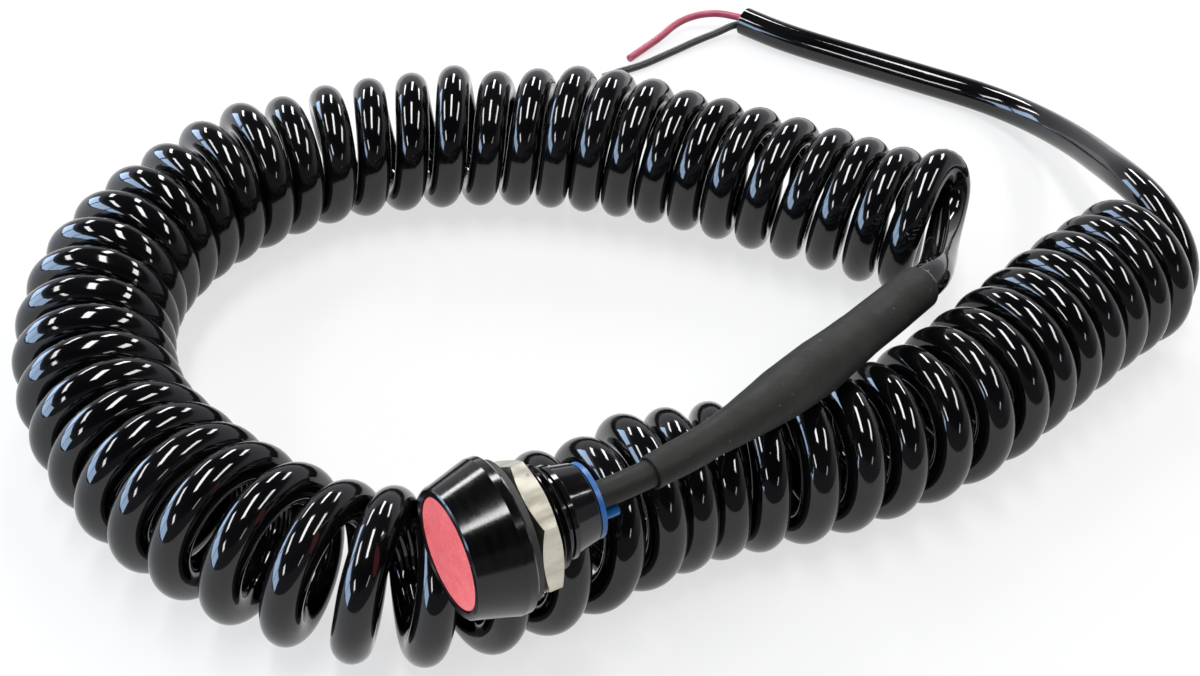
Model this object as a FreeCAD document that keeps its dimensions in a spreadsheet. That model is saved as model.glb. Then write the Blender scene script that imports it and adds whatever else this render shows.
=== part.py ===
import FreeCAD, Part
import math
import os
import re
import Sketcher
from FreeCAD import Placement, Rotation, Vector

# Hand push-button on a curly cord.
# Frame: +X is the axis of the button, pointing to its rear, and +Z is up.
# The origin is on that axis, in the plane of the bezel's rear face, which seats on a panel.
# The button lies on its own coiled cord, FLOOR below the axis.

FLOOR = -27.0

SIZES = {
    # bezel and threaded bush, turned in one piece
    "bezel_depth": 6.4,
    "bezel_radius": 8.9,
    "rim_radius": 7.4,
    "rim_edge": 0.15,
    "band_start": 5.2,
    "rear_chamfer": 0.25,
    "bush_radius": 6.0,
    "bush_length": 5.5,
    "bush_chamfer": 0.2,
    "recess_radius": 6.53,
    "recess_depth": 4.8,
    "stem_bore": 2.55,
    "gland_start": 5.5,
    "gland_width": 1.0,
    "gland_radius": 3.5,
    "web_end": 7.0,
    "cavity_radius": 4.9,
    # thread
    "thread_start": 0.92,
    "thread_pitch": 0.75,
    "thread_depth": 0.4,
    "thread_width": 0.6,
    "thread_turns": 6,
    # gasket and nut
    "gasket_thickness": 0.9,
    "gasket_radius": 8.1,
    "nut_front": 1.4,
    "nut_thickness": 2.45,
    "nut_flats": 14.0,
    "nut_bore": 6.05,
    "nut_face_radius": 6.95,
    "nut_corner_radius": 8.5,
    "nut_corner_depth": 0.65,
    "nut_mouth": 0.3,
    "nut_turn": -12,
    # actuator, stem and contact carrier
    "button_radius": 6.45,
    "button_inset": 0.1,
    "button_thickness": 3.0,
    "button_round": 0.3,
    "stem_socket": 1.5,
    "stem_radius": 2.5,
    "stem_waist": 2.1,
    "stem_tip_radius": 1.5,
    "stem_shoulder": 1.5,
    "stem_end": 3.9,
    "clip_front": 0.65,
    "clip_thickness": 0.5,
    "clip_radius": 3.6,
    "seal_ring": 3.0,
    "seal_section": 0.45,
    "carrier_radius": 3.9,
    "carrier_thickness": 1.6,
    "bridge_thickness": 0.3,
    "bridge_length": 7.2,
    "bridge_width": 2.6,
    # return spring
    "spring_radius": 1.95,
    "spring_wire": 0.22,
    "spring_turns": 5,
    "spring_front": 3.65,
    "spring_rear": 7.45,
    # rear shell
    "shell_front": 4.1,
    "shell_bore": 4.2,
    "shell_neck": 5.15,
    "shell_ring_radius": 5.45,
    "shell_ring_start": 6.05,
    "shell_ring_end": 6.75,
    "shell_step": 6.95,
    "shell_body_radius": 5.15,
    "shell_tail_radius": 4.6,
    "shell_round": 9.7,
    "shell_end_radius": 4.35,
    "shell_end": 10.0,
    # blue terminal base with its key tab
    "base_radius": 4.45,
    "base_thickness": 0.6,
    "base_front": 7.5,
    "base_well": 2.4,
    "base_well_depth": 0.2,
    "potting_radius": 3.5,
    "potting_front": 9.3,
    "tab_length": 3.2,
    "tab_width": 4.8,
    "tab_thickness": 0.4,
    "tab_top": -0.95,
    "tab_round": 0.5,
    # fixed contacts
    "contact_offset": 2.65,
    "contact_thickness": 0.5,
    "contact_width": 1.6,
    "contact_front": 5.45,
    "contact_rear": 9.75,
    "foot_thickness": 0.4,
    "foot_reach": 4.1,
    "foot_height": 1.3,
    "foot_rise": 0.72,
    "foot_gap": 0.2,
    # lead, splice and cord
    "lead_side": -0.5,
    "lead_rise": 0.7,
    "wire_radius": 0.6,
    "sleeve_radius": 1.6,
    "sleeve_bore": 1.4,
    "crimp_radius": 1.2,
    "crimp_length": 7.0,
    "core_radius": 0.65,
    "shrink_wall": 0.35,
    "cord_radius": 2.5,
    "coil_radius": 10.5,
    "adhesive_radius": 2.75,
    "adhesive_depth": 5.0,
    "adhesive_bead": 0.8,
}

# Route of the two-wire lead from the terminal base towards the splice.
LEAD_ROUTE = [(9.75, -0.5, 0.7), (15.5, -0.5, 0.7), (22.0, 0.0, 1.0), (28.0, 1.2, 0.75)]
# The splice lies straight across the top of the coil.
SPLICE_START = (32.25, 2.5, 0.1)
SPLICE_MOUTH = (71.76, 18.33, -6.6)
# Rings of the heat-shrink on the lead: place, aim and outer radius.
SHRINK_NECK = [
    ((18.4, -0.35, 0.86), (1.0, 0.06, 0.04), 2.0),
    ((22.0, 0.05, 0.98), (1.0, 0.15, 0.0), 2.1),
    ((27.5, 1.15, 0.77), (1.0, 0.25, -0.08), 2.15),
]
# Rings of the heat-shrink along the splice: distance from SPLICE_START, and outer radius.
SHRINK_SECTIONS = [(0.5, 2.6), (8.0, 3.3), (16.0, 3.5), (24.0, 3.25), (43.1, 3.15)]
# Inside the splice: distances from SPLICE_START, and how far the two conductors stand off its axis.
SLEEVE_END = 3.0
WIRES_PART = (1.0, 0.65)
WIRES_SPREAD = (4.5, 0.975)
CRIMPS_AT = {"red": 9.0, "black": 12.0}
CRIMP_OFFSET = 1.3
CORES_MEET = (4.0, 1.235)
CORD_STARTS = (32.0, 0.8)

# Cord from inside the splice to the first turn of the coil.
START_ROUTE = [
    (76.0, 20.0, -7.3), (81.5, 25.0, -11.0), (88.0, 30.5, -15.5), (93.8, 33.8, -15.0),
    (96.3, 37.6, -11.0), (93.5, 41.6, -11.0),
]
# Centre line of the coil, on the floor.
COIL_ROUTE = [
    (89.7, 39.0), (79.4, 53.8), (66.9, 69.7), (52.9, 82.5), (35.6, 91.1), (15.3, 95.2), (-4.4, 90.4),
    (-20.3, 78.3), (-27.9, 61.0), (-27.4, 42.7), (-20.7, 25.3), (-6.7, 11.6), (10.8, 9.1), (29.8, 10.7),
    (47.7, 5.7), (67.7, 5.0), (85.9, 10.5), (103.1, 15.6), (113.1, 17.3),
]
COIL_HEIGHT = -16.5
# Cord from the last turn of the coil to its cut end on the floor.
TAIL_ROUTE = [
    (113.5, 15.3, -10.5), (118.3, 16.1, -10.5), (121.8, 27.0, -11.5), (126.2, 39.3, -15.5),
    (129.6, 53.0, -20.0), (131.3, 64.8, -23.2), (127.7, 75.1, -24.5), (120.1, 87.6, -24.5),
    (113.4, 98.8, -24.5), (107.2, 109.7, -24.5),
]
RED_TAIL_ROUTE = [
    (107.9, 110.1, -23.9), (106.6, 112.3, -23.9), (103.3, 114.1, -24.0), (98.0, 115.2, -24.7),
    (92.2, 113.9, -25.8), (87.3, 112.1, -26.2), (83.0, 110.4, -26.3),
]
BLACK_TAIL_ROUTE = [
    (106.5, 109.4, -25.1), (105.3, 111.5, -25.1), (102.6, 112.0, -25.4), (97.2, 110.3, -26.1),
    (90.6, 108.8, -26.3), (83.3, 107.6, -26.3), (76.0, 107.0, -26.3),
]

# Least sizes that count when a shape is checked or its edges are picked.
TOLERANCE = 0.01

os.makedirs("parts", exist_ok=True)
doc = FreeCAD.newDocument("hand_button")
sizes = doc.addObject("Spreadsheet::Sheet", "sizes")
for row, (alias, number) in enumerate(SIZES.items(), 1):
    sizes.set(f"A{row}", alias)
    sizes.set(f"B{row}", str(number))
    sizes.setAlias(f"B{row}", alias)
doc.recompute()

pieces = []
contacts = []


def bound(text):
    """The text with each size's name pointing at its cell of the sheet."""
    return re.sub(r"\b[a-z]+(_[a-z]+)+\b", r"sizes.\g<0>", text)


def amount(text):
    """The number that a text of sizes comes to."""
    return float(sizes.evalExpression(bound(text)))


def size(name):
    return float(sizes.get(name))


def keep(piece, label):
    """Name a finished piece and list it for writing."""
    piece.Label = label
    pieces.append(piece)
    return piece


def origin_feature(body, role):
    return next(item for item in body.Origin.OriginFeatures if item.Role == role)


def outline_sketch(body, name, role, outlines):
    """A sketch of closed outlines whose corners are each bound to the sheet."""
    sketch = body.newObject("Sketcher::SketchObject", name)
    sketch.AttachmentSupport = (origin_feature(body, role), [""])
    sketch.MapMode = "FlatFace"
    for outline in outlines:
        corners = [Vector(amount(across), amount(up), 0) for across, up in outline]
        first = sketch.GeometryCount
        for start, end in zip(corners, corners[1:] + corners[:1]):
            sketch.addGeometry(Part.LineSegment(start, end), False)
        for index, place in enumerate(outline):
            line = first + index
            before = first + (index - 1) % len(outline)
            sketch.addConstraint(Sketcher.Constraint("Coincident", before, 2, line, 1))
            pin_corner(sketch, line, place)
    return sketch


def pin_corner(sketch, line, place):
    """Hold the start of a line at its place, on an axis where that coordinate is nought."""
    for kind, text, axis in (("DistanceX", place[0], -2), ("DistanceY", place[1], -1)):
        if text == "0":
            sketch.addConstraint(Sketcher.Constraint("PointOnObject", line, 1, axis))
            continue
        held = sketch.addConstraint(Sketcher.Constraint(kind, -1, 1, line, 1, amount(text)))
        sketch.setExpression(f"Constraints[{held}]", bound(text))


def turned(name, front, outline):
    """A body turned about its own X axis, with its local nought at the given front place."""
    body = doc.addObject("PartDesign::Body", name)
    sketch = outline_sketch(body, f"{name}_outline", "XY_Plane", [outline])
    turn = body.newObject("PartDesign::Revolution", f"{name}_turn")
    turn.Profile = sketch
    turn.ReferenceAxis = (sketch, ["H_Axis"])
    turn.Angle = 360
    body.setExpression("Placement.Base.x", bound(front))
    return body


def box(name, corner, lengths):
    """A block whose least corner and lengths are bound to the sheet."""
    block = doc.addObject("Part::Box", name)
    for axis, text in zip("xyz", corner):
        block.setExpression(f"Placement.Base.{axis}", bound(text))
    for side, text in zip(("Length", "Width", "Height"), lengths):
        block.setExpression(side, bound(text))
    return block


def rod(name, front, radius, length):
    """A cylinder along X."""
    cylinder = doc.addObject("Part::Cylinder", name)
    cylinder.Placement = Placement(Vector(), Rotation(Vector(0, 1, 0), 90))
    cylinder.setExpression("Placement.Base.x", bound(front))
    cylinder.setExpression("Radius", bound(radius))
    cylinder.setExpression("Height", bound(length))
    return cylinder


def cut(name, base, tool):
    result = doc.addObject("Part::Cut", name)
    result.Base = base
    result.Tool = tool
    return result


# ---- bezel, gasket and nut ----

def make_bezel():
    body = turned("bezel", "-bezel_depth", [
        ("0", "recess_radius"),
        ("0", "rim_radius - rim_edge"),
        ("rim_edge", "rim_radius"),
        ("band_start", "bezel_radius"),
        ("bezel_depth - rear_chamfer", "bezel_radius"),
        ("bezel_depth", "bezel_radius - rear_chamfer"),
        ("bezel_depth", "bush_radius"),
        ("bezel_depth + bush_length - bush_chamfer", "bush_radius"),
        ("bezel_depth + bush_length", "bush_radius - bush_chamfer"),
        ("bezel_depth + bush_length", "cavity_radius"),
        ("web_end", "cavity_radius"),
        ("web_end", "stem_bore"),
        ("gland_start + gland_width", "stem_bore"),
        ("gland_start + gland_width", "gland_radius"),
        ("gland_start", "gland_radius"),
        ("gland_start", "stem_bore"),
        ("recess_depth", "stem_bore"),
        ("recess_depth", "recess_radius"),
    ])
    doc.recompute()
    blank = body.Shape.Volume
    vee = outline_sketch(body, "thread_outline", "XY_Plane", [[
        ("bezel_depth + thread_start", "bush_radius + thread_depth"),
        ("bezel_depth + thread_start", "bush_radius"),
        ("bezel_depth + thread_start + thread_width / 2", "bush_radius - thread_depth"),
        ("bezel_depth + thread_start + thread_width", "bush_radius"),
        ("bezel_depth + thread_start + thread_width", "bush_radius + thread_depth"),
    ]])
    groove = body.newObject("PartDesign::Groove", "thread_groove")
    groove.Profile = vee
    groove.ReferenceAxis = (vee, ["H_Axis"])
    groove.Angle = 360
    doc.recompute()
    one_groove = body.Shape.Volume
    row = body.newObject("PartDesign::LinearPattern", "thread_row")
    row.Originals = [groove]
    row.Direction = (vee, ["H_Axis"])
    row.setExpression("Length", bound("thread_pitch * (thread_turns - 1)"))
    row.setExpression("Occurrences", bound("thread_turns"))
    body.Tip = row
    doc.recompute()
    grooves = (blank - body.Shape.Volume) / (blank - one_groove)
    assert abs(grooves - size("thread_turns")) < TOLERANCE
    keep(body, "bezel_housing")


def make_nut():
    blank = turned("nut_blank", "nut_front", [
        ("0", "nut_bore + nut_mouth"),
        ("0", "nut_face_radius"),
        ("nut_corner_depth", "nut_corner_radius"),
        ("nut_thickness - nut_corner_depth", "nut_corner_radius"),
        ("nut_thickness", "nut_face_radius"),
        ("nut_thickness", "nut_bore + nut_mouth"),
        ("nut_thickness - nut_mouth", "nut_bore"),
        ("nut_mouth", "nut_bore"),
    ])
    hexagon = doc.addObject("Part::Prism", "nut_hexagon")
    hexagon.Polygon = 6
    turn = Rotation(Vector(1, 0, 0), size("nut_turn"))
    hexagon.Placement = Placement(Vector(), turn * Rotation(Vector(0, 1, 0), 90))
    hexagon.setExpression("Circumradius", bound("nut_flats / sqrt(3)"))
    hexagon.setExpression("Height", bound("nut_thickness"))
    hexagon.setExpression("Placement.Base.x", bound("nut_front"))
    nut = doc.addObject("Part::MultiCommon", "nut")
    nut.Shapes = [hexagon, blank]
    keep(nut, "mounting_nut")


def make_gasket():
    keep(turned("gasket", "0", [
        ("0", "bush_radius"),
        ("0", "gasket_radius"),
        ("gasket_thickness", "gasket_radius"),
        ("gasket_thickness", "bush_radius"),
    ]), "panel_gasket")


# ---- the pieces that move with the button ----

def make_button():
    body = turned("button", "button_inset - bezel_depth", [
        ("0", "0"),
        ("0", "button_radius"),
        ("button_thickness", "button_radius"),
        ("button_thickness", "stem_radius"),
        ("button_thickness - stem_socket", "stem_radius"),
        ("button_thickness - stem_socket", "0"),
    ])
    doc.recompute()
    turning = body.Tip
    edges = [
        f"Edge{number}" for number, edge in enumerate(turning.Shape.Edges, 1)
        if edge.BoundBox.XMax < turning.Shape.BoundBox.XMin + TOLERANCE and edge.BoundBox.YLength > TOLERANCE
    ]
    fillet = body.newObject("PartDesign::Fillet", "button_edge")
    fillet.Base = (turning, edges)
    fillet.setExpression("Radius", bound("button_round"))
    body.Tip = fillet
    keep(body, "actuator_button")


def make_stem():
    socket = "(bezel_depth - button_inset - button_thickness + stem_socket)"
    keep(turned("stem", f"-{socket}", [
        ("0", "0"),
        ("0", "stem_radius"),
        (f"{socket} + clip_front", "stem_radius"),
        (f"{socket} + clip_front", "stem_waist"),
        (f"{socket} + clip_front + clip_thickness", "stem_waist"),
        (f"{socket} + clip_front + clip_thickness", "stem_radius"),
        (f"{socket} + stem_shoulder", "stem_radius"),
        (f"{socket} + stem_shoulder", "stem_tip_radius"),
        (f"{socket} + stem_end", "stem_tip_radius"),
        (f"{socket} + stem_end", "0"),
    ]), "plunger_stem")


def make_clip():
    keep(turned("clip", "clip_front", [
        ("0", "stem_waist"),
        ("0", "clip_radius"),
        ("clip_thickness", "clip_radius"),
        ("clip_thickness", "stem_waist"),
    ]), "retaining_ring")


def make_seal():
    ring = doc.addObject("Part::Torus", "seal")
    ring.setExpression("Radius1", bound("seal_ring"))
    ring.setExpression("Radius2", bound("seal_section"))
    ring.Placement = Placement(Vector(), Rotation(Vector(0, 1, 0), 90))
    ring.setExpression("Placement.Base.x", bound("gland_start + gland_width / 2 - bezel_depth"))
    keep(ring, "stem_seal")


def make_carrier():
    keep(turned("carrier", "stem_shoulder", [
        ("0", "stem_tip_radius"),
        ("0", "carrier_radius"),
        ("carrier_thickness", "carrier_radius"),
        ("carrier_thickness", "stem_tip_radius"),
    ]), "contact_carrier")


def make_bridge():
    front = "stem_shoulder + carrier_thickness"
    plate = box(
        "bridge_plate",
        (front, "-bridge_length / 2", "-bridge_width / 2 - bridge_thickness"),
        ("bridge_thickness", "bridge_length", "bridge_width + 2 * bridge_thickness"),
    )
    hole = rod("bridge_hole", front, "stem_tip_radius", "bridge_thickness")
    keep(cut("bridge", plate, hole), "contact_bridge")


def make_spring():
    """The return spring: a round wire on a helix about the X axis."""
    radius = size("spring_radius")
    length = size("spring_rear") - size("spring_front")
    line = Part.makeHelix(length / size("spring_turns"), length, radius)
    start = Part.Circle(Vector(radius, 0, 0), Vector(0, 1, 0), size("spring_wire"))
    coil = Part.Wire(line.Edges).makePipeShell([Part.Wire(start.toShape())], True, True)
    spring = doc.addObject("Part::Feature", "spring")
    spring.Shape = coil
    place = Vector(size("spring_front"), 0, 0)
    spring.Placement = Placement(place, Rotation(Vector(0, 1, 0), 90))
    keep(spring, "return_spring")


# ---- the rear of the switch ----

def make_rear_shell():
    origin = "shell_front"
    keep(turned("shell", origin, [
        ("0", "shell_bore"),
        ("0", "cavity_radius"),
        ("bush_length - shell_front", "cavity_radius"),
        ("bush_length - shell_front", "shell_neck"),
        ("shell_ring_start - shell_front", "shell_neck"),
        ("shell_ring_start - shell_front + rim_edge", "shell_ring_radius"),
        ("shell_ring_end - shell_front", "shell_ring_radius"),
        ("shell_step - shell_front", "shell_body_radius"),
        ("shell_round - shell_front", "shell_tail_radius"),
        ("shell_end - shell_front", "shell_end_radius"),
        ("shell_end - shell_front", "shell_bore"),
    ]), "rear_shell")


def make_contacts():
    """Two strips beside the bridge, each with a foot that its wire is soldered to."""
    feet = {"a": (1, "foot_rise"), "b": (-1, "foot_rise - foot_height - foot_gap")}
    for letter, (side, foot_bottom) in feet.items():
        outer = f"{side} * (contact_offset + contact_thickness / 2)"
        strip = box(
            f"contact_strip_{letter}",
            ("contact_front", f"{side} * contact_offset - contact_thickness / 2", "-contact_width / 2"),
            ("contact_rear - contact_front", "contact_thickness", "contact_width"),
        )
        foot_side = f"{outer} - foot_reach" if side == 1 else outer
        foot = box(
            f"contact_foot_{letter}",
            ("contact_rear - foot_thickness", foot_side, foot_bottom),
            ("foot_thickness", "foot_reach", "foot_height"),
        )
        contact = doc.addObject("Part::MultiFuse", f"contact_{letter}")
        contact.Shapes = [strip, foot]
        contacts.append(keep(contact, f"fixed_contact_{letter}"))


def make_base():
    body = turned("base_turning", "base_front", [
        ("0", "base_well"),
        ("0", "shell_bore"),
        ("shell_end - base_front", "shell_bore"),
        ("shell_end - base_front", "base_radius"),
        ("shell_end - base_front + base_thickness", "base_radius"),
        ("shell_end - base_front + base_thickness", "potting_radius"),
        ("potting_front - base_front", "potting_radius"),
        ("potting_front - base_front", "0"),
        ("base_well_depth", "0"),
        ("base_well_depth", "base_well"),
    ])
    tab = box(
        "base_tab",
        ("potting_front - rim_edge", "-tab_width / 2", "tab_top - tab_thickness"),
        ("shell_end + base_thickness + tab_length - potting_front", "tab_width", "tab_thickness"),
    )
    doc.recompute()
    rounded = doc.addObject("Part::Fillet", "key_tab")
    rounded.Base = tab
    rounded.Edges = [
        (number, size("tab_round"), size("tab_round"))
        for number, edge in enumerate(tab.Shape.Edges, 1)
        if edge.BoundBox.XMin > tab.Shape.BoundBox.XMax - TOLERANCE and edge.BoundBox.ZLength > TOLERANCE
    ]
    blank = doc.addObject("Part::MultiFuse", "base_blank")
    blank.Shapes = [body, rounded]
    slots = doc.addObject("Part::MultiFuse", "base_slots")
    slots.Shapes = contacts
    keep(cut("base", blank, slots), "terminal_base")


def make_potting():
    depth = "shell_end + base_thickness - potting_front - rim_edge"
    plug = rod("potting_blank", "potting_front", "potting_radius", depth)
    hole = rod("potting_hole", "contact_rear", "sleeve_radius", depth)
    hole.setExpression("Placement.Base.y", bound("lead_side"))
    hole.setExpression("Placement.Base.z", bound("lead_rise"))
    for number, tool in enumerate([hole, doc.getObject("key_tab"), *contacts]):
        plug = cut(f"potting_cut_{number}", plug, tool)
    keep(plug, "potting_plug")


# ---- tubes along a route ----

def points_of(route, shift=(0, 0, 0)):
    return [Vector(*place) + Vector(*shift) for place in route]


def tube_path(points):
    """Straight runs joined by tangent arcs, each as large as its two runs allow."""
    edges = []
    radii = []
    last = points[0]
    for before, corner, after in zip(points, points[1:], points[2:]):
        coming = (corner - before).normalize()
        going = (after - corner).normalize()
        half_turn = coming.getAngle(going) / 2
        reach = 0.45 * min(corner.distanceToPoint(before), corner.distanceToPoint(after))
        start = corner - coming * reach
        end = corner + going * reach
        radius = reach / math.tan(half_turn)
        inward = (going - coming).normalize()
        middle = corner + inward * (radius / math.cos(half_turn) - radius)
        edges.append(Part.LineSegment(last, start).toShape())
        edges.append(Part.Arc(start, middle, end).toShape())
        radii.append(radius)
        last = end
    edges.append(Part.LineSegment(last, points[-1]).toShape())
    return Part.Wire(edges), radii


def tube_solid(points, radius):
    path, radii = tube_path(points)
    ring = Part.Circle(points[0], points[1] - points[0], radius).toShape()
    solid = path.makePipeShell([Part.Wire(ring)], True, True)
    expected = math.pi * radius ** 2 * path.Length
    return solid, path.Length, radii, solid.Volume / expected


def tube(label, points, radius, bore=0.0):
    """A tube along a route, as a piece of its own. Prints its bends and its volume's agreement."""
    solid, length, radii, agreement = tube_solid(points, radius)
    if bore:
        solid = solid.cut(tube_solid(points, bore)[0])
    feature = doc.addObject("Part::Feature", f"{label}_tube")
    feature.Shape = solid
    bends = ", ".join(f"{bend:.1f}" for bend in radii)
    print(f"{label}: length {length:.1f}, volume ratio {agreement:.4f}, bend radii {bends}")
    keep(feature, label)


def splice_direction():
    return (Vector(*SPLICE_MOUTH) - Vector(*SPLICE_START)).normalize()


def along_splice(distance, rise=0.0):
    """The place at a distance along the splice, raised across it."""
    direction = splice_direction()
    upward = Vector(0, 0, 1) - direction * direction.z
    return Vector(*SPLICE_START) + direction * distance + upward.normalize() * rise


def make_lead():
    sleeve = points_of(LEAD_ROUTE) + [along_splice(SLEEVE_END)]
    tube("lead_sleeve", sleeve, size("sleeve_radius"), size("sleeve_bore"))
    for colour, side in (("red", 1), ("black", -1)):
        make_conductor(colour, side)


def make_conductor(colour, side):
    """One wire of the lead, its crimp, and the cord's core that the crimp joins it to."""
    part_at, part_rise = WIRES_PART
    spread_at, spread_rise = WIRES_SPREAD
    crimp_start = CRIMPS_AT[colour]
    crimp_rise = CRIMP_OFFSET * side
    wire = points_of(LEAD_ROUTE, (0, 0, part_rise * side)) + [
        along_splice(part_at, part_rise * side),
        along_splice(spread_at, spread_rise * side),
        along_splice(crimp_start, crimp_rise),
    ]
    tube(f"lead_wire_{colour}", wire, size("wire_radius"))
    make_crimp(f"splice_crimp_{colour}", along_splice(crimp_start, crimp_rise))
    crimp_end = crimp_start + size("crimp_length")
    meet_after, meet_rise = CORES_MEET
    cord_at, cord_rise = CORD_STARTS
    core = [
        along_splice(crimp_end, crimp_rise),
        along_splice(crimp_end + meet_after, meet_rise * side),
        along_splice(cord_at, cord_rise * side),
    ]
    tube(f"start_core_{colour}", core, size("core_radius"))


def aimed(place, direction):
    """A placement that turns the local X axis to a direction."""
    return Placement(place, Rotation(Vector(1, 0, 0), direction))


def make_crimp(label, place):
    crimp = turned(label, "0", [
        ("0", "wire_radius * 0.9"),
        ("0", "crimp_radius"),
        ("crimp_length", "crimp_radius"),
        ("crimp_length", "wire_radius * 0.9"),
    ])
    crimp.setExpression("Placement.Base.x", None)
    crimp.Placement = aimed(place, splice_direction())
    keep(crimp, label)


def ring_wire(place, direction, radius):
    return Part.Wire(Part.Circle(place, direction, radius).toShape())


def shrink_skin(inset):
    """The heat-shrink's outer form, or with an inset its bore."""
    rings = [
        ring_wire(Vector(*place), Vector(*aim), radius - inset)
        for place, aim, radius in SHRINK_NECK
    ]
    rings += [
        ring_wire(along_splice(distance), splice_direction(), radius - inset)
        for distance, radius in SHRINK_SECTIONS
    ]
    return Part.makeLoft(rings, True, True)


def make_shrink():
    feature = doc.addObject("Part::Feature", "shrink")
    feature.Shape = shrink_skin(0.0).cut(shrink_skin(size("shrink_wall")))
    keep(feature, "splice_heatshrink")


def make_adhesive():
    """The ring of hot-melt that fills the mouth of the heat-shrink round the cord."""
    ring = turned("adhesive", "0", [
        ("0", "cord_radius"),
        ("0", "adhesive_radius"),
        ("adhesive_depth + adhesive_bead / 2", "adhesive_radius"),
        ("adhesive_depth + adhesive_bead", "adhesive_radius - adhesive_bead / 5"),
        ("adhesive_depth + adhesive_bead", "cord_radius"),
    ])
    ring.setExpression("Placement.Base.x", None)
    reach = Vector(*SPLICE_MOUTH).distanceToPoint(Vector(*SPLICE_START))
    ring.Placement = aimed(along_splice(reach - size("adhesive_depth")), splice_direction())
    keep(ring, "splice_adhesive")


def make_cord():
    start = [along_splice(CORD_STARTS[0])] + points_of(START_ROUTE)
    tube("cord_start", start, size("cord_radius"))
    coil = [Vector(across, along, COIL_HEIGHT) for across, along in COIL_ROUTE]
    tube("cord_coil", coil, size("coil_radius"))
    tube("cord_tail", points_of(TAIL_ROUTE), size("cord_radius"))
    tube("tail_core_red", points_of(RED_TAIL_ROUTE), size("core_radius"))
    tube("tail_core_black", points_of(BLACK_TAIL_ROUTE), size("core_radius"))


for make in (
    make_bezel, make_gasket, make_nut, make_button, make_stem, make_clip, make_seal, make_carrier,
    make_bridge, make_spring, make_rear_shell, make_contacts, make_base, make_potting, make_lead,
    make_shrink, make_adhesive, make_cord,
):
    make()

doc.recompute()
for item in doc.Objects:
    if "Invalid" in item.State or "Error" in item.State:
        raise RuntimeError(f"{item.Name} did not recompute: {item.State}")
for piece in pieces:
    if piece.Shape.isNull() or not piece.Shape.isValid():
        raise RuntimeError(f"{piece.Label} has no valid shape")
    if piece.Shape.optimalBoundingBox(False).ZMin < FLOOR - TOLERANCE:
        raise RuntimeError(f"{piece.Label} reaches below the floor")
for piece in pieces:
    piece.Shape.exportStep(f"parts/{piece.Label}.step")
print(len(pieces), "pieces written")
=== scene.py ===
import math

import bpy
from mathutils import Matrix, Vector, noise


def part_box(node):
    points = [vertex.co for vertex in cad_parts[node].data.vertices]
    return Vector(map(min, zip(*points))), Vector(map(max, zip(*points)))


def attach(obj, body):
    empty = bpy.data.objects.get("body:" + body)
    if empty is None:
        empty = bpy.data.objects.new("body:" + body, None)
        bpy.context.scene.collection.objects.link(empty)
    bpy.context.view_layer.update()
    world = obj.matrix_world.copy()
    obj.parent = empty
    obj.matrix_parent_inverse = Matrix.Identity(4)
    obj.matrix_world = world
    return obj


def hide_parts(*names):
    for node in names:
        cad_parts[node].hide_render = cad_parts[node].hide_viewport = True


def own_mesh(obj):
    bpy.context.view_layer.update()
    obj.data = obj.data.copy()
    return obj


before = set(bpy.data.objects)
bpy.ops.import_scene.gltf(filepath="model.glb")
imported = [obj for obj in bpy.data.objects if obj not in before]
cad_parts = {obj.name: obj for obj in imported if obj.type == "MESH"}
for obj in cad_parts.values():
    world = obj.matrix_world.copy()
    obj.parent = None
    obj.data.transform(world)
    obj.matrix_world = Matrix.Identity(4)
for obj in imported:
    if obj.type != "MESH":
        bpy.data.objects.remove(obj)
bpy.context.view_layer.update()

# A hand push-button on a curly cord, lying on a white floor.
# The frame is the CAD model's, in metres: +X runs from the button's face to its rear, and +Z is up.

MILLIMETRE = 0.001
# The height of the floor that the coil lies on.
FLOOR = -0.027
# The wide end of the heat-shrink, where the cord comes out.
SPLICE_MOUTH = (0.07176, 0.01833, -0.0066)
CORD_RADIUS = 0.0025
CORE_RADIUS = 0.00065

# ---- routes: control points of smooth splines ----

SLEEVE_ROUTE = [
    (0.00975, -0.0005, 0.0007), (0.0155, -0.0005, 0.0007), (0.0220, 0.0000, 0.0010),
    (0.0280, 0.0012, 0.00075), (0.0320, 0.0024, 0.0002), (0.0348, 0.0035, -0.0003),
]
SHRINK_ROUTE = [
    (0.0184, -0.00035, 0.00086), (0.0220, 0.00005, 0.00098), (0.0275, 0.00115, 0.00077),
    (0.0323, 0.0025, 0.0001), (0.0400, 0.0052, -0.0011), (0.0481, 0.0083, -0.0025),
    (0.0574, 0.0122, -0.0041), (0.0650, 0.0155, -0.0055), SPLICE_MOUTH,
]
START_ROUTE = [
    (0.0665, 0.0162, -0.0057), SPLICE_MOUTH, (0.0760, 0.0200, -0.0073),
    (0.0822, 0.0256, -0.0112), (0.0888, 0.0322, -0.0147), (0.0936, 0.0367, -0.0150),
    (0.0961, 0.0391, -0.0122), (0.0958, 0.0402, -0.0091), (0.0933, 0.0403, -0.0073),
    (0.0898, 0.0386, -0.0073), (0.0864, 0.0364, -0.0095), (0.0838, 0.0350, -0.0133),
    (0.0825, 0.0343, -0.0177),
]
COIL_ROUTE = [
    (0.0896, 0.0387), (0.0791, 0.0533), (0.0666, 0.0692), (0.0526, 0.0820), (0.0354, 0.0905),
    (0.0153, 0.0950), (-0.0047, 0.0909), (-0.0206, 0.0787), (-0.0282, 0.0612), (-0.0275, 0.0428),
    (-0.0201, 0.0254), (-0.0070, 0.0108), (0.0108, 0.0088), (0.0298, 0.0107), (0.0477, 0.0057),
    (0.0676, 0.0047), (0.0857, 0.0098), (0.1031, 0.0146), (0.1134, 0.0162),
]
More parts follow.
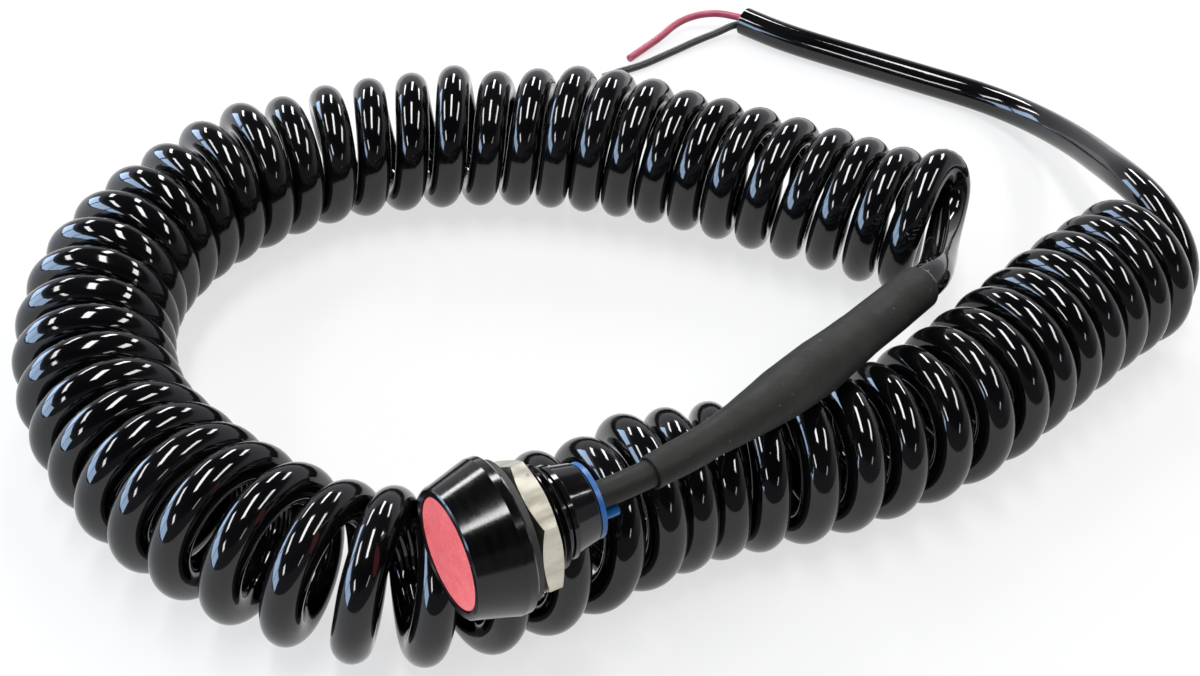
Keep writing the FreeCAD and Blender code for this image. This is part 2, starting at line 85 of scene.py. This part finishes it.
TAIL_ROUTE = [
    (0.1155, 0.0135, -0.0240), (0.1170, 0.0120, -0.0220), (0.1180, 0.0120, -0.0190),
    (0.1190, 0.0135, -0.0160), (0.1195, 0.0165, -0.0135), (0.1195, 0.0205, -0.0115),
    (0.1200, 0.0245, -0.0110), (0.1215, 0.0300, -0.0120), (0.1250, 0.0370, -0.0150),
    (0.1290, 0.0460, -0.0185), (0.1315, 0.0550, -0.0215), (0.1320, 0.0630, -0.0235),
    (0.1300, 0.0710, -0.0245), (0.1230, 0.0815, -0.0245), (0.1120, 0.0980, -0.0245),
    (0.1085, 0.1045, -0.0245), (0.1065, 0.1095, -0.0245),
]
RED_CORE_ROUTE = [
    (0.1068, 0.1097, -0.0243), (0.1053, 0.1112, -0.0241), (0.1027, 0.1134, -0.0240),
    (0.0991, 0.1148, -0.0244), (0.0952, 0.1148, -0.0251), (0.0908, 0.1130, -0.0259),
    (0.0867, 0.1116, -0.0262), (0.0827, 0.1100, -0.0263),
]
BLACK_CORE_ROUTE = [
    (0.1061, 0.1092, -0.0249), (0.1045, 0.1098, -0.0250), (0.1013, 0.1095, -0.0255),
    (0.0969, 0.1095, -0.0260), (0.0926, 0.1089, -0.0263), (0.0877, 0.1079, -0.0263),
    (0.0830, 0.1070, -0.0263), (0.0774, 0.1071, -0.0263), (0.0757, 0.1068, -0.0263),
]

# The coil. Its turns are numbered from the splice to the tail, and a whole number is the top of a turn.
FIRST_TURN = 0.34
LAST_TURN = 55.5
POINTS_PER_TURN = 14
# How far along its route the coil starts.
COIL_START = 0.0008
# The spline cuts inside its control points, so they stand out by this factor.
CORNER_CUT = 1.0256
# Turn number, and the spacing of the turns there. Only the proportions count: the coil fills its route.
PITCHES = [
    (0, 5.6), (2, 5.5), (3, 5.5), (3.5, 5.8), (4.8, 5.85), (5.2, 5.6), (6.3, 5.5), (8, 5.45), (11, 5.85),
    (13, 6.25), (14, 6.25), (22, 6.05), (26, 5.7), (29, 5.85), (31, 5.7), (32, 6.15), (33, 6.9), (34, 7.0),
    (35, 6.7), (36, 6.5), (37, 6.8), (39, 6.6), (40, 5.7), (42, 5.6), (45, 5.75), (46, 6.1), (50, 6.2),
    (53, 5.7), (56, 5.0),
]
# Turn number, and the radius of the turns' centre line there, in millimetres: some stand proud of the rest.
RADII = [
    (0, 8.2), (7, 8.2), (8, 8.6), (9, 8.8), (10, 8.7), (11, 8.2), (12, 7.9), (13, 8.5), (14, 8.0),
    (16, 7.9), (17, 7.8), (18, 8.4), (20, 7.9), (24, 8.0), (28, 7.9), (30, 8.3), (32, 8.3), (34, 8.0),
    (35, 8.1), (37, 8.1), (38, 8.4), (39, 7.8), (40, 8.4), (41, 7.8), (42, 7.4), (44, 7.9), (46, 7.6),
    (48, 8.1), (50, 8.2), (52, 8.3), (54, 8.4), (56, 8.5),
]
# Turn number, and how far in millimetres its top leans towards the tail.
LEANS = [
    (1, 0.6), (2, 0.2), (3, -0.3), (4, 0.0), (5, 0.2), (6, 0.2), (7, 0.0), (30, 0.0), (32, -0.4),
    (35, -0.2), (36, 0.0), (38, 0.5), (39, 1.4), (40, 0.2), (42, -0.9), (45, -0.3), (48, 0.0), (50, -0.3),
    (52, -1.0), (56, -1.0),
]


# ---- lines ----

def spline_of(curve, points):
    """One open smooth spline through the curve's control points."""
    spline = curve.splines.new("NURBS")
    spline.points.add(len(points) - 1)
    for point, place in zip(spline.points, points):
        point.co = (*place, 1.0)
    spline.order_u = 3
    spline.use_endpoint_u = True
    return spline


def smooth_line(points, steps=24):
    """Places read along the smooth spline of a route."""
    curve = bpy.data.curves.new("route", "CURVE")
    curve.dimensions = "3D"
    curve.resolution_u = steps
    spline_of(curve, points)
    holder = bpy.data.objects.new("route", curve)
    mesh = bpy.data.meshes.new_from_object(holder)
    line = [vertex.co.copy() for vertex in mesh.vertices]
    bpy.data.meshes.remove(mesh)
    bpy.data.objects.remove(holder)
    bpy.data.curves.remove(curve)
    return line


def distances(line):
    """How far along the line each of its places is."""
    far = [0.0]
    for before, after in zip(line, line[1:]):
        far.append(far[-1] + (after - before).length)
    return far


def place_at(line, far, distance):
    """The place and the direction at a distance along a line."""
    index = 0
    while index < len(far) - 2 and far[index + 1] < distance:
        index += 1
    run = line[index + 1] - line[index]
    part = (distance - far[index]) / (far[index + 1] - far[index])
    return line[index] + run * part, run.normalized()


def between(table, key):
    """Straight interpolation in a list of pairs."""
    if key <= table[0][0]:
        return table[0][1]
    for (low, first), (high, second) in zip(table, table[1:]):
        if key <= high:
            return first + (second - first) * (key - low) / (high - low)
    return table[-1][1]


def helix_points():
    """Control points of the coil's turns, wound round the smooth line of its route."""
    line = smooth_line([(x, y, 0.0) for x, y in COIL_ROUTE])
    far = distances(line)
    count = round((LAST_TURN - FIRST_TURN) * POINTS_PER_TURN)
    turns = [FIRST_TURN + (LAST_TURN - FIRST_TURN) * step / count for step in range(count + 1)]
    reach = [0.0]
    for before, after in zip(turns, turns[1:]):
        reach.append(reach[-1] + between(PITCHES, (before + after) / 2) * (after - before))
    scale = (far[-1] - COIL_START) / reach[-1]
    points = []
    for turn, gone in zip(turns, reach):
        centre, along = place_at(line, far, COIL_START + gone * scale)
        aside = Vector((along.y, -along.x, 0.0))
        radius = between(RADII, turn) * MILLIMETRE
        lean = between(LEANS, turn) * MILLIMETRE
        angle = 2 * math.pi * turn
        rise = FLOOR + CORD_RADIUS + radius * (1.0 + CORNER_CUT * math.cos(angle))
        out = -radius * CORNER_CUT * math.sin(angle)
        points.append(centre + aside * out + along * lean * math.cos(angle) + Vector((0.0, 0.0, rise)))
    return points


def frames_along(line):
    """Each place of a line, with two directions across the line that don't twist."""
    frames = []
    across = None
    for index, place in enumerate(line):
        ahead = line[min(index + 1, len(line) - 1)] - line[max(index - 1, 0)]
        ahead.normalize()
        if across is None:
            across = ahead.orthogonal()
        across = (across - ahead * across.dot(ahead)).normalized()
        frames.append((place, across, ahead.cross(across)))
    return frames


# ---- materials ----

def colour(red, green, blue):
    """A display colour, 0 to 255, as the shader's own numbers."""
    def linear(value):
        value /= 255
        return value / 12.92 if value <= 0.04045 else ((value + 0.055) / 1.055) ** 2.4
    return linear(red), linear(green), linear(blue), 1.0


# Noises with different shifts along this way don't line up.
SHIFT_WAY = (1.0, 1.7, 0.6)


def noise_node(tree, scale, detail=3.0, stretch=(1.0, 1.0, 1.0), shift=0.0):
    """Noise over the piece, as a value from 0 to 1."""
    coords = tree.nodes.new("ShaderNodeTexCoord")
    mapping = tree.nodes.new("ShaderNodeMapping")
    mapping.inputs["Scale"].default_value = stretch
    mapping.inputs["Location"].default_value = [shift * part for part in SHIFT_WAY]
    texture = tree.nodes.new("ShaderNodeTexNoise")
    texture.inputs["Scale"].default_value = scale
    texture.inputs["Detail"].default_value = detail
    tree.links.new(coords.outputs["Object"], mapping.inputs["Vector"])
    tree.links.new(mapping.outputs["Vector"], texture.inputs["Vector"])
    return texture.outputs["Fac"]


def spread(tree, source, low, high, first, second):
    """The source's range low to high, spread over first to second."""
    node = tree.nodes.new("ShaderNodeMapRange")
    node.inputs["From Min"].default_value = low
    node.inputs["From Max"].default_value = high
    node.inputs["To Min"].default_value = first
    node.inputs["To Max"].default_value = second
    tree.links.new(source, node.inputs["Value"])
    return node.outputs["Result"]


def ramp(tree, source, stops):
    """A colour that follows the source through stops: (value, colour) each."""
    node = tree.nodes.new("ShaderNodeValToRGB")
    elements = node.color_ramp.elements
    while len(elements) < len(stops):
        elements.new(0.5)
    for element, (place, shade) in zip(elements, stops):
        element.position = place
        element.color = shade
    tree.links.new(source, node.inputs["Fac"])
    return node.outputs["Color"]


def mixed(tree, factor, first, second):
    """The first colour, a socket, with the second, a fixed colour, over it by the factor."""
    node = tree.nodes.new("ShaderNodeMix")
    node.data_type = "RGBA"
    node.inputs["B"].default_value = second
    tree.links.new(factor, node.inputs["Factor"])
    tree.links.new(first, node.inputs["A"])
    return node.outputs["Result"]


def bumped(tree, heights):
    """A chain of bumps: (height, distance in metres, strength) each."""
    before = None
    for height, distance, strength in heights:
        node = tree.nodes.new("ShaderNodeBump")
        node.inputs["Distance"].default_value = distance
        node.inputs["Strength"].default_value = strength
        tree.links.new(height, node.inputs["Height"])
        if before is not None:
            tree.links.new(before, node.inputs["Normal"])
        before = node.outputs["Normal"]
    return before


# The noise values where a material's dark colour ends and its light one begins.
PATCH_EDGES = (0.32, 0.68)
# Smudges in the roughness are this much finer than the patches of colour.
SMUDGE_FINENESS = 2.3
SMUDGE_EDGES = (0.3, 0.7)
SPECK_EDGE = 0.03
# How deep light seeps, and the shares of that for red, green and blue.
GLOW_DEPTH = 0.0004
GLOW_REACH = (1.0, 0.4, 0.3)
WHITE = (1.0, 1.0, 1.0, 1.0)


def finish(
    name, dark, light, rough, patch=120.0, grain=900.0, grain_depth=0.00002, grain_strength=0.3,
    swell=None, metal=0.0, specular=0.5, specks=None, stretch=(1.0, 1.0, 1.0), glow=0.0, light_out=0.0,
):
    """A material whose colour, roughness and surface all vary.

    rough is a pair of roughnesses; patch and grain are how fine the colour and the surface vary; swell is
    (fineness, depth, strength) of slow waves; specks is (fineness, amount, colour); glow is light that
    seeps through; and light_out is light that the surface gives off."""
    material = bpy.data.materials.new(name)
    material.use_nodes = True
    tree = material.node_tree
    shader = tree.nodes["Principled BSDF"]
    shader.inputs["Metallic"].default_value = metal
    shader.inputs["Specular IOR Level"].default_value = specular
    if glow:
        shader.inputs["Subsurface Weight"].default_value = glow
        shader.inputs["Subsurface Scale"].default_value = GLOW_DEPTH
        shader.inputs["Subsurface Radius"].default_value = GLOW_REACH
    if light_out:
        shader.inputs["Emission Color"].default_value = WHITE
        shader.inputs["Emission Strength"].default_value = light_out
    patches = noise_node(tree, patch, shift=2.0, stretch=stretch)
    shade = ramp(tree, patches, list(zip(PATCH_EDGES, (dark, light))))
    smudges = noise_node(tree, patch * SMUDGE_FINENESS, detail=5.0, shift=5.0, stretch=stretch)
    roughness = spread(tree, smudges, *SMUDGE_EDGES, *rough)
    if specks:
        fineness, amount, tint = specks
        dust = noise_node(tree, fineness, detail=1.0, shift=7.0)
        mask = spread(tree, dust, 1.0 - amount, 1.0 - amount + SPECK_EDGE, 0.0, 1.0)
        shade = mixed(tree, mask, shade, tint)
    tree.links.new(shade, shader.inputs["Base Color"])
    tree.links.new(roughness, shader.inputs["Roughness"])
    grains = noise_node(tree, grain, detail=4.0, shift=11.0, stretch=stretch)
    heights = [(grains, grain_depth, grain_strength)]
    if swell:
        fineness, depth, strength = swell
        waves = noise_node(tree, fineness, detail=2.0, shift=13.0)
        heights.append((waves, depth, strength))
    tree.links.new(bumped(tree, heights), shader.inputs["Normal"])
    return material


GLOSS_BLACK = finish(
    "gloss_black_pvc", colour(4, 4, 5), colour(10, 10, 11), (0.04, 0.09), patch=90.0, grain=1500.0,
    grain_depth=0.000006, grain_strength=0.25, swell=(330.0, 0.00007, 0.35),
)
ANODISED_BLACK = finish(
    "black_anodised", colour(3, 3, 3), colour(8, 8, 8), (0.10, 0.16), patch=260.0, grain=5200.0,
    grain_depth=0.000004, grain_strength=0.25, specular=0.42, stretch=(6.0, 1.0, 1.0),
)
ANODISED_RED = finish(
    "red_anodised", colour(216, 86, 86), colour(228, 102, 100), (0.36, 0.48), patch=300.0, grain=5200.0,
    grain_depth=0.00003, grain_strength=0.5, metal=0.3, specks=(4800.0, 0.34, colour(246, 162, 154)),
)
NICKEL = finish(
    "nickel", colour(170, 166, 152), colour(206, 202, 188), (0.28, 0.42), patch=420.0, grain=3400.0,
    grain_depth=0.00002, grain_strength=0.8, metal=1.0, stretch=(0.35, 1.0, 1.0),
    specks=(5200.0, 0.3, colour(136, 130, 114)),
)
RUBBER_BLACK = finish(
    "black_rubber", colour(22, 22, 22), colour(34, 34, 34), (0.5, 0.7), grain=2400.0, grain_depth=0.00003,
    grain_strength=0.5,
)
STEEL = finish(
    "steel", colour(150, 150, 150), colour(190, 190, 188), (0.22, 0.36), grain=2600.0, grain_depth=0.00001,
    metal=1.0, stretch=(6.0, 1.0, 1.0),
)
MOULDED_BLACK = finish(
    "black_moulding", colour(6, 6, 7), colour(12, 12, 13), (0.06, 0.13), patch=180.0, grain=1800.0,
    grain_depth=0.00001, grain_strength=0.3, swell=(500.0, 0.00004, 0.25),
)
MOULDED_BLUE = finish(
    "blue_moulding", colour(12, 68, 126), colour(26, 90, 150), (0.28, 0.42), patch=320.0, grain=2600.0,
    grain_depth=0.00003, grain_strength=0.4, glow=0.15,
)
CONTACT_METAL = finish(
    "contact_metal", colour(196, 178, 120), colour(222, 208, 160), (0.2, 0.35), grain=2200.0, metal=1.0,
    stretch=(1.0, 5.0, 1.0),
)
POTTING = finish(
    "potting_resin", colour(20, 20, 22), colour(36, 36, 38), (0.12, 0.3), grain=900.0, grain_depth=0.00006,
    grain_strength=0.4,
)
SHEATH = finish(
    "lead_sheath", colour(18, 18, 16), colour(30, 30, 27), (0.45, 0.6), patch=300.0, grain=2600.0,
    grain_depth=0.00003, grain_strength=0.5, specular=0.2,
)
SHRINK = finish(
    "heatshrink", colour(17, 17, 15), colour(27, 27, 24), (0.5, 0.64), patch=150.0, grain=3600.0,
    grain_depth=0.00003, grain_strength=0.5, swell=(420.0, 0.0003, 0.5), specular=0.22,
    specks=(2100.0, 0.25, colour(84, 82, 76)),
)
RED_INSULATION = finish(
    "red_insulation", colour(136, 46, 70), colour(160, 66, 90), (0.34, 0.5), patch=300.0, grain=2200.0,
    grain_depth=0.00003, glow=0.2,
)
BLACK_INSULATION = finish(
    "black_insulation", colour(20, 19, 18), colour(32, 31, 28), (0.34, 0.5), patch=300.0, grain=2200.0,
    grain_depth=0.00003,
)
TINNED = finish(
    "crimp_tin", colour(170, 170, 172), colour(205, 205, 206), (0.25, 0.4), grain=1800.0, metal=1.0,
)
HOT_MELT = finish(
    "hot_melt", colour(44, 43, 44), colour(96, 93, 96), (0.04, 0.12), patch=500.0, grain=1500.0,
    grain_depth=0.00004, grain_strength=0.4, swell=(700.0, 0.0002, 0.5),
)
FILLER = finish(
    "filler", colour(206, 198, 206), colour(232, 226, 232), (0.4, 0.6), patch=500.0, grain=3000.0,
    grain_depth=0.00006, grain_strength=0.6, glow=0.35,
)
FLOOR_WHITE = finish(
    "white_floor", colour(114, 114, 114), colour(118, 118, 118), (0.6, 0.7), patch=3.0, grain=400.0,
    grain_depth=0.00002, grain_strength=0.1, specular=0.1, light_out=0.68,
)

# What each CAD node that stays in sight is made of.
CAD_FINISHES = {
    "bezel_housing": ANODISED_BLACK, "panel_gasket": RUBBER_BLACK, "mounting_nut": NICKEL,
    "actuator_button": ANODISED_RED, "plunger_stem": STEEL, "retaining_ring": STEEL,
    "stem_seal": RUBBER_BLACK, "contact_carrier": MOULDED_BLACK, "contact_bridge": CONTACT_METAL,
    "rear_shell": MOULDED_BLACK, "fixed_contact_a": CONTACT_METAL, "fixed_contact_b": CONTACT_METAL,
    "terminal_base": MOULDED_BLUE, "potting_plug": POTTING, "lead_wire_red": RED_INSULATION,
    "lead_wire_black": BLACK_INSULATION, "splice_crimp_red": TINNED, "splice_crimp_black": TINNED,
    "start_core_red": RED_INSULATION, "start_core_black": BLACK_INSULATION,
}


# ---- pieces ----

def show(name, data, material, replaces=()):
    """Put a new piece into the scene, riding on the root body."""
    piece = bpy.data.objects.new(name, data)
    bpy.context.scene.collection.objects.link(piece)
    data.materials.append(material)
    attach(piece, "root")
    if replaces:
        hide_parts(*replaces)
    return piece


def round_wire(name, points, radius, material, replaces=(), steps=8, fineness=6):
    """A round wire: a curve of one open spline with a round section."""
    curve = bpy.data.curves.new(name, "CURVE")
    curve.dimensions = "3D"
    curve.resolution_u = steps
    curve.bevel_depth = radius
    curve.bevel_resolution = fineness
    curve.use_fill_caps = True
    spline_of(curve, points)
    return show(name, curve, material, replaces)


def mesh_of(name, vertices, faces):
    """A smooth-shaded mesh."""
    mesh = bpy.data.meshes.new(name)
    mesh.from_pydata(vertices, [], faces)
    mesh.validate()
    mesh.polygons.foreach_set("use_smooth", [True] * len(mesh.polygons))
    return mesh


def grid_faces(rows, sides, closed):
    """Quads between successive rings of points. Closed ones join the last ring to the first."""
    faces = []
    for row in range(rows if closed else rows - 1):
        here = row * sides
        there = (row + 1) % rows * sides
        for side in range(sides):
            beside = (side + 1) % sides
            faces.append((here + side, there + side, there + beside, here + beside))
    return faces


def swept_tube(name, line, outline, sides, solid=False):
    """A tube swept along a line.

    outline gives the rings round its closed section: (index of the place, radius) each, where the radius may
    be a function of the angle. A solid one is an open row of rings with a cap at each end."""
    frames = frames_along(line)
    vertices = []
    for index, radius in outline:
        place, across, up = frames[index]
        for side in range(sides):
            angle = 2 * math.pi * side / sides
            reach = radius(angle) if callable(radius) else radius
            vertices.append(place + across * math.cos(angle) * reach + up * math.sin(angle) * reach)
    faces = grid_faces(len(outline), sides, not solid)
    if solid:
        faces.append(list(range(sides)))
        faces.append(list(reversed(range(len(vertices) - sides, len(vertices)))))
    return mesh_of(name, vertices, faces)


def straight_ring(name, start, aim, profile, sides):
    """A ring about a straight axis. profile is its closed section: (distance along the axis, radius) each."""
    places = sorted({distance for distance, radius in profile})
    line = [start + aim * distance for distance in places]
    rings = [(places.index(distance), radius) for distance, radius in profile]
    return swept_tube(name, line, rings, sides)


def make_cord():
    """The whole cord: out of the splice, round the coil and along the tail."""
    points = START_ROUTE + [tuple(place) for place in helix_points()] + TAIL_ROUTE
    return round_wire(
        "curly_cord", points, CORD_RADIUS, GLOSS_BLACK,
        ("cord_start", "cord_coil", "cord_tail"), steps=4, fineness=10,
    )


# Distance from the heat-shrink's narrow end, and its outer radius.
SHRINK_RADII = [
    (0.0, 0.0020), (0.0036, 0.0021), (0.0092, 0.0022), (0.0143, 0.00255), (0.0181, 0.0029),
    (0.0222, 0.00327), (0.0266, 0.00345), (0.0311, 0.00355), (0.0361, 0.0033), (0.0413, 0.00317),
    (0.0571, 0.00315),
]
SHRINK_WALL = 0.00035
# Lumps in the heat-shrink: their height, and how fast they change along it and round it.
LUMP_HEIGHT = 0.00009
LUMPS_ALONG = 170
LUMPS_ROUND = 1.3


def make_shrink():
    """The heat-shrink over the splice, shrunk unevenly over what is inside."""
    line = smooth_line(SHRINK_ROUTE, steps=30)
    far = distances(line)

    def outer(index):
        base = between(SHRINK_RADII, far[index])

        def radius(angle):
            across = math.cos(angle) * LUMPS_ROUND
            up = math.sin(angle) * LUMPS_ROUND
            return base + LUMP_HEIGHT * noise.noise(Vector((far[index] * LUMPS_ALONG, across, up)))
        return radius

    rings = [(index, outer(index)) for index in range(len(line))]
    for index in reversed(range(len(line))):
        rings.append((index, between(SHRINK_RADII, far[index]) - SHRINK_WALL))
    mesh = swept_tube("heatshrink_tube", line, rings, sides=56)
    return show("heatshrink_tube", mesh, SHRINK, ("splice_heatshrink",))


SLEEVE_RADIUS = 0.0016
SLEEVE_BORE = 0.0014


def make_sleeve():
    """The sleeve round the two lead wires."""
    line = smooth_line(SLEEVE_ROUTE, steps=20)
    rings = [(index, SLEEVE_RADIUS) for index in range(len(line))]
    rings += [(index, SLEEVE_BORE) for index in reversed(range(len(line)))]
    mesh = swept_tube("lead_sheath_tube", line, rings, sides=40)
    return show("lead_sheath_tube", mesh, SHEATH, ("lead_sleeve",))


# The filler's section: distance past the cord's cut end, and radius.
FILLER_PROFILE = [
    (-0.0012, 0.0006), (-0.0012, 0.0015), (-0.0004, 0.0015), (0.0001, 0.00152), (0.0003, 0.00148),
    (0.0004, 0.0013), (0.00045, 0.0009), (0.00045, 0.0003),
]


def make_tail_end():
    """The two stripped cores, and the pale filler at the cord's cut end."""
    red = round_wire(
        "core_wire_red", RED_CORE_ROUTE, CORE_RADIUS, RED_INSULATION, ("tail_core_red",),
    )
    black = round_wire(
        "core_wire_black", BLACK_CORE_ROUTE, CORE_RADIUS, BLACK_INSULATION,
        ("tail_core_black",),
    )
    end = Vector(TAIL_ROUTE[-1])
    aim = (end - Vector(TAIL_ROUTE[-2])).normalized()
    mesh = straight_ring("cord_filler", end, aim, FILLER_PROFILE, sides=40)
    filler = show("cord_filler", mesh, FILLER)
    return [red, black, filler]


BEAD_BORE = 0.00252
BEAD_RADIUS = 0.00275
# How fast the bead's lumps change round it, and where they are taken from the noise.
BEAD_LUMPS = 2.2
BEAD_SEED = 4.0


def make_adhesive():
    """Hot-melt squeezed out of the heat-shrink's mouth round the cord."""
    mouth = Vector(SPLICE_MOUTH)
    aim = (mouth - Vector(SHRINK_ROUTE[-2])).normalized()

    def lumpy(base, height):
        def radius(angle):
            across = math.cos(angle) * BEAD_LUMPS
            up = math.sin(angle) * BEAD_LUMPS
            return base + height * noise.noise(Vector((across, up, BEAD_SEED)))
        return radius

    profile = [
        (-0.004, BEAD_BORE), (-0.004, BEAD_RADIUS), (-0.001, BEAD_RADIUS), (0.0, BEAD_RADIUS),
        (0.0003, lumpy(0.0028, 0.0001)), (0.0007, lumpy(0.00272, 0.0002)), (0.0010, lumpy(0.0026, 0.0001)),
        (0.0010, BEAD_BORE),
    ]
    mesh = straight_ring("hot_melt_bead", mouth, aim, profile, sides=48)
    return show("hot_melt_bead", mesh, HOT_MELT, ("splice_adhesive",))


# The radius of the spring's wire.
SPRING_WIRE = 0.00022
SPRING_TURNS = 5
SPRING_STEPS = 28
# Turn number, and the share of the spring's length that it has reached there: the end turns lie close.
SPRING_RISE = [(0, 0.0), (0.8, 0.11), (4.2, 0.89), (5, 1.0)]


def make_spring():
    """The return spring, wound from steel wire to fill the CAD spring's box, with its end turns close."""
    low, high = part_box("return_spring")
    radius = (high[2] - low[2]) / 2 - SPRING_WIRE
    front, rear = low[0] + SPRING_WIRE, high[0] - SPRING_WIRE
    line = []
    for step in range(SPRING_TURNS * SPRING_STEPS + 1):
        turn = step / SPRING_STEPS
        angle = 2 * math.pi * turn
        along = front + (rear - front) * between(SPRING_RISE, turn)
        line.append(Vector((along, radius * math.sin(angle), -radius * math.cos(angle))))
    rings = [(index, SPRING_WIRE) for index in reversed(range(len(line)))]
    mesh = swept_tube("return_spring_wire", line, rings, sides=16, solid=True)
    spring = show("return_spring_wire", mesh, STEEL, ("return_spring",))
    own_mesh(spring)


def dress_cad_nodes():
    """Give each CAD node that stays its material."""
    for node, material in CAD_FINISHES.items():
        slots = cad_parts[node].data.materials
        slots.clear()
        slots.append(material)


# ---- build ----

dress_cad_nodes()
cord = make_cord()
shrink = make_shrink()
sleeve = make_sleeve()
tail_pieces = make_tail_end()
bead = make_adhesive()
make_spring()


# ---- camera, floor and light ----

# The camera stands and looks as the photograph's did: turned from +Y towards +X, down, and rolled.
CAMERA_PLACE = (-0.05699, -0.10783, 0.1369)
HEADING = math.radians(32.2)
TILT = math.radians(41.62)
ROLL = math.radians(3.565)
# Focal length and sensor width in millimetres.
FOCAL_LENGTH = 51.0
SENSOR_WIDTH = 36.0
NEAREST_SEEN = 0.01


def make_camera():
    """The camera that the photograph's perspective was solved to."""
    data = bpy.data.cameras.new("camera")
    data.lens = FOCAL_LENGTH
    data.sensor_width = SENSOR_WIDTH
    data.clip_start = NEAREST_SEEN
    camera = bpy.data.objects.new("camera", data)
    bpy.context.scene.collection.objects.link(camera)
    turn = Matrix.Rotation(-HEADING, 4, "Z") @ Matrix.Rotation(math.pi / 2 - TILT, 4, "X")
    camera.matrix_world = Matrix.Translation(CAMERA_PLACE) @ turn @ Matrix.Rotation(ROLL, 4, "Z")
    bpy.context.scene.camera = camera


FLOOR_CORNERS = [(-4.0, -4.0, 0.0), (4.0, -4.0, 0.0), (4.0, 4.0, 0.0), (-4.0, 4.0, 0.0)]
# The floor lies this far under the coil, so that the two surfaces don't meet.
FLOOR_GAP = 0.00005


def make_floor():
    """A white table that glows a little, as a light table does, so that shadows stay faint."""
    mesh = bpy.data.meshes.new("floor")
    mesh.from_pydata(FLOOR_CORNERS, [], [(0, 1, 2, 3)])
    mesh.materials.append(FLOOR_WHITE)
    floor = bpy.data.objects.new("floor", mesh)
    floor.location = (0.0, 0.0, FLOOR - FLOOR_GAP)
    bpy.context.scene.collection.objects.link(floor)


# The lamps face the middle of the object. Their places are as the camera sees them from there.
MIDDLE = Vector((0.045, 0.055, FLOOR))
RIGHTWARD = Vector((math.cos(HEADING), -math.sin(HEADING), 0.0))
FARWARD = Vector((math.sin(HEADING), math.cos(HEADING), 0.0))


def make_lamp(name, aside, depth, height, width, breadth, radiance, shade=(1.0, 1.0, 1.0)):
    """A rectangular lamp that faces the object's middle.

    aside is to the camera's right and depth away from it; width is across the view and breadth along it."""
    data = bpy.data.lights.new(name, "AREA")
    data.shape = "RECTANGLE"
    data.size = width
    data.size_y = breadth
    data.energy = radiance * math.pi * width * breadth
    data.color = shade
    lamp = bpy.data.objects.new(name, data)
    bpy.context.scene.collection.objects.link(lamp)
    lamp.location = MIDDLE + RIGHTWARD * aside + FARWARD * depth + Vector((0.0, 0.0, height))
    facing = (lamp.location - MIDDLE).normalized()
    ahead = (FARWARD - facing * FARWARD.dot(facing)).normalized()
    lamp.rotation_mode = "QUATERNION"
    lamp.rotation_quaternion = Matrix((ahead.cross(facing), ahead, facing)).transposed().to_quaternion()


# The room's shade by height, from level or below to overhead.
ROOM_SHADES = [
    (0.0, colour(215, 213, 220)), (0.40, colour(200, 198, 206)), (0.50, colour(90, 89, 94)),
    (0.70, colour(52, 52, 54)),
]
# Which way, from -1 behind the camera to 1 ahead of it, and how bright the room is there.
ROOM_BEHIND = (-0.6, 0.25)
ROOM_FAR = (0.5, 1.0)


def make_world():
    """A room that is bright along the far horizon and dark overhead and behind the camera."""
    world = bpy.data.worlds.new("studio")
    world.use_nodes = True
    tree = world.node_tree
    coords = tree.nodes.new("ShaderNodeTexCoord")
    split = tree.nodes.new("ShaderNodeSeparateXYZ")
    tree.links.new(coords.outputs["Generated"], split.inputs["Vector"])
    heights = ramp(tree, split.outputs["Z"], ROOM_SHADES)
    reach = tree.nodes.new("ShaderNodeVectorMath")
    reach.operation = "DOT_PRODUCT"
    reach.inputs[1].default_value = FARWARD
    tree.links.new(coords.outputs["Generated"], reach.inputs[0])
    strength = spread(tree, reach.outputs["Value"], ROOM_BEHIND[0], ROOM_FAR[0], ROOM_BEHIND[1], ROOM_FAR[1])
    background = tree.nodes["Background"]
    tree.links.new(heights, background.inputs["Color"])
    tree.links.new(strength, background.inputs["Strength"])
    bpy.context.scene.world = world


LAMP_HEIGHT = 1.45
LAMP_ROW_DEPTHS = (-0.1, 1.85)
PANE_DEPTHS = (-1.15, -0.2, 0.75)
PANE_ASIDE = -1.7
PANE_HEIGHT = 0.37
DAYLIGHT = (0.50, 0.70, 1.0)


def make_lamps():
    """Two rows of three strip lamps overhead, two more behind the camera, and a low window on the left."""
    for row, depth in enumerate(LAMP_ROW_DEPTHS):
        make_lamp(f"lamp_left_{row}", -1.6, depth, LAMP_HEIGHT, 0.26, 1.0, 19.0)
        make_lamp(f"lamp_centre_{row}", -0.12, depth, LAMP_HEIGHT, 0.24, 1.0, 24.0)
        make_lamp(f"lamp_right_{row}", 1.2, depth, LAMP_HEIGHT, 0.24, 1.0, 19.0)
    make_lamp("lamp_near_left", -1.5, -2.0, LAMP_HEIGHT, 0.26, 0.8, 18.0)
    make_lamp("lamp_near_right", 1.5, -2.2, LAMP_HEIGHT, 0.16, 0.7, 8.0)
    for pane, depth in enumerate(PANE_DEPTHS):
        make_lamp(f"window_pane_{pane}", PANE_ASIDE, depth, PANE_HEIGHT, 0.58, 0.86, 11.0, DAYLIGHT)


make_camera()
make_floor()
make_lamps()
make_world()
bpy.context.scene.view_settings.view_transform = "Standard"
